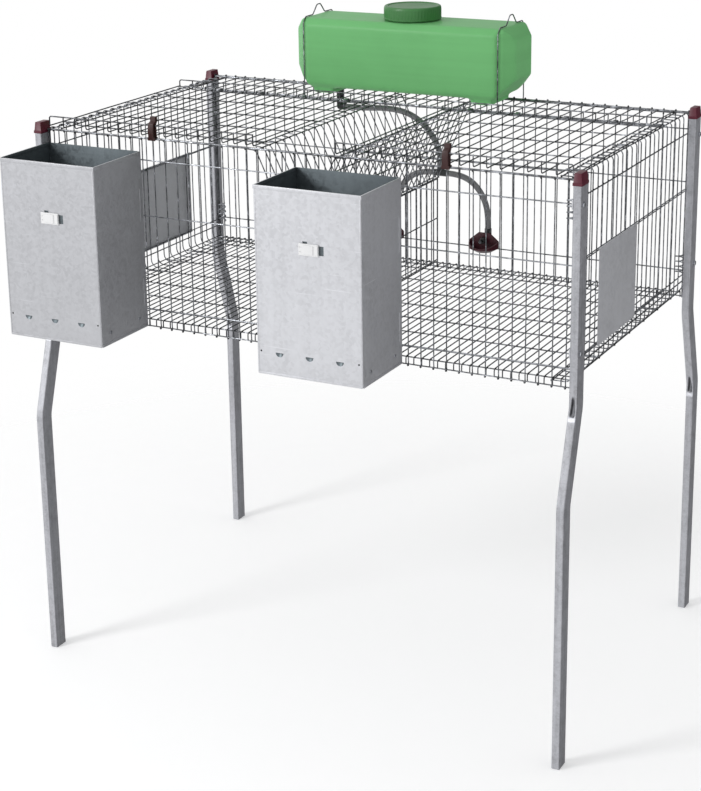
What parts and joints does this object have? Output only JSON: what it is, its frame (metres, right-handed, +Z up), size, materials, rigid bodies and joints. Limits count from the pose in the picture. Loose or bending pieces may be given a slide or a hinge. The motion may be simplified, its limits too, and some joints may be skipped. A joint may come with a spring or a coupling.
{
  "type": "rabbit cage",
  "caption": "Two-compartment wire rabbit cage on joggled tube legs, with hinged roof doors, hay rack, hopper feeders, sliding side hatches, roof water tank and cup drinkers.",
  "frame": {"origin": "on the ground, under the middle of the outline in width and depth", "axes": "+X to the right seen from the feeders' side, +Y to the back where the tank is, +Z up"},
  "size_m": [1.072, 0.8144, 1.2036],
  "materials": {
    "galvanised_tube": "hot-dip galvanised, dull",
    "galvanised_wire": "galvanised",
    "galvanised_sheet": "galvanised, faint spangle",
    "zinc_fastener": "zinc plated",
    "dark_red_plastic": "satin",
    "drinker_plastic": "satin",
    "brown_plastic": "satin",
    "white_plastic": "satin",
    "green_plastic": "satin, blow moulded",
    "dark_green_plastic": "satin",
    "black_rubber": "matte",
    "black_plastic": "satin",
    "hose": "smooth",
    "hose_fitting": "satin"
  },
  "bodies": {
    "cage": {"front_left_leg": "galvanised_tube", "front_left_cap": "dark_red_plastic", "front_right_leg": "galvanised_tube", "front_right_cap": "dark_red_plastic", "rear_left_leg": "galvanised_tube", "rear_left_cap": "dark_red_plastic", "rear_right_leg": "galvanised_tube", "rear_right_cap": "dark_red_plastic", "leg_bolts": "zinc_fastener", "clamp_plates": "zinc_fastener", "front_panel": "galvanised_wire", "rear_panel": "galvanised_wire", "front_top_rod": "galvanised_wire", "rear_top_rod": "galvanised_wire", "floor_panel": "galvanised_wire", "left_wall": "galvanised_wire", "right_wall": "galvanised_wire", "left_flanges": "galvanised_wire", "right_flanges": "galvanised_wire", "roof_strip": "galvanised_wire", "hinge_rod": "galvanised_wire", "left_rack_panel": "galvanised_wire", "right_rack_panel": "galvanised_wire", "divider": "galvanised_wire", "tank_hangers": "galvanised_wire", "left_drinker_cup": "drinker_plastic", "left_drinker_valve": "drinker_plastic", "left_hose": "hose", "right_drinker_cup": "drinker_plastic", "right_drinker_valve": "drinker_plastic", "right_hose": "hose", "tank_body": "green_plastic", "tank_outlet": "black_plastic", "feed_hose": "hose", "hose_tee": "hose_fitting"},
    "left_door": {"left_door": "galvanised_wire", "left_hinge_rings": "galvanised_wire", "left_latch": "brown_plastic"},
    "left_feeder": {"left_feeder_shell": "galvanised_sheet", "left_feeder_back": "galvanised_sheet", "left_feeder_chute": "galvanised_sheet", "left_feeder_apron": "galvanised_sheet", "left_feeder_rivets": "zinc_fastener", "left_feeder_clip": "white_plastic"},
    "left_hatch": {"left_hatch_plate": "galvanised_sheet"},
    "left_push_pin": {"left_drinker_pin": "zinc_fastener"},
    "right_door": {"right_door": "galvanised_wire", "right_hinge_rings": "galvanised_wire", "right_latch": "brown_plastic"},
    "right_feeder": {"right_feeder_shell": "galvanised_sheet", "right_feeder_back": "galvanised_sheet", "right_feeder_chute": "galvanised_sheet", "right_feeder_apron": "galvanised_sheet", "right_feeder_rivets": "zinc_fastener", "right_feeder_clip": "white_plastic"},
    "right_hatch": {"right_hatch_plate": "galvanised_sheet"},
    "right_push_pin": {"right_drinker_pin": "zinc_fastener"},
    "lid": {"tank_lid": "dark_green_plastic", "tank_seal": "black_rubber"}
  },
  "joints": [
    {"name": "left_door_hinge", "type": "hinge", "parent": "cage", "child": "left_door", "pos_m": [0, 0.20225, 1.0258], "axis": [-1, 0, 0], "range_deg": [0, 95]},
    {"name": "left_feeder_lift", "type": "slide", "parent": "cage", "child": "left_feeder", "axis": [0, 0, 1], "range_m": [0, 0.02]},
    {"name": "left_hatch_slide", "type": "slide", "parent": "cage", "child": "left_hatch", "axis": [0, -1, 0], "range_m": [-0.09, 0.27]},
    {"name": "left_drinker_push", "type": "slide", "parent": "cage", "child": "left_push_pin", "axis": [0, 1, 0], "range_m": [0, 0.0025], "stiffness_N_per_m": 200, "springref_m": -0.002},
    {"name": "right_door_hinge", "type": "hinge", "parent": "cage", "child": "right_door", "pos_m": [0, 0.20225, 1.0258], "axis": [-1, 0, 0], "range_deg": [0, 95]},
    {"name": "right_feeder_lift", "type": "slide", "parent": "cage", "child": "right_feeder", "axis": [0, 0, 1], "range_m": [0, 0.02]},
    {"name": "right_hatch_slide", "type": "slide", "parent": "cage", "child": "right_hatch", "axis": [0, 1, 0], "range_m": [-0.09, 0.27]},
    {"name": "right_drinker_push", "type": "slide", "parent": "cage", "child": "right_push_pin", "axis": [0, 1, 0], "range_m": [0, 0.0025], "stiffness_N_per_m": 200, "springref_m": -0.002},
    {"name": "lid_turn", "type": "hinge", "parent": "cage", "child": "lid", "pos_m": [-0.036, 0.29925, 1.19], "axis": [0, 0, 1], "continuous": true}
  ]
}
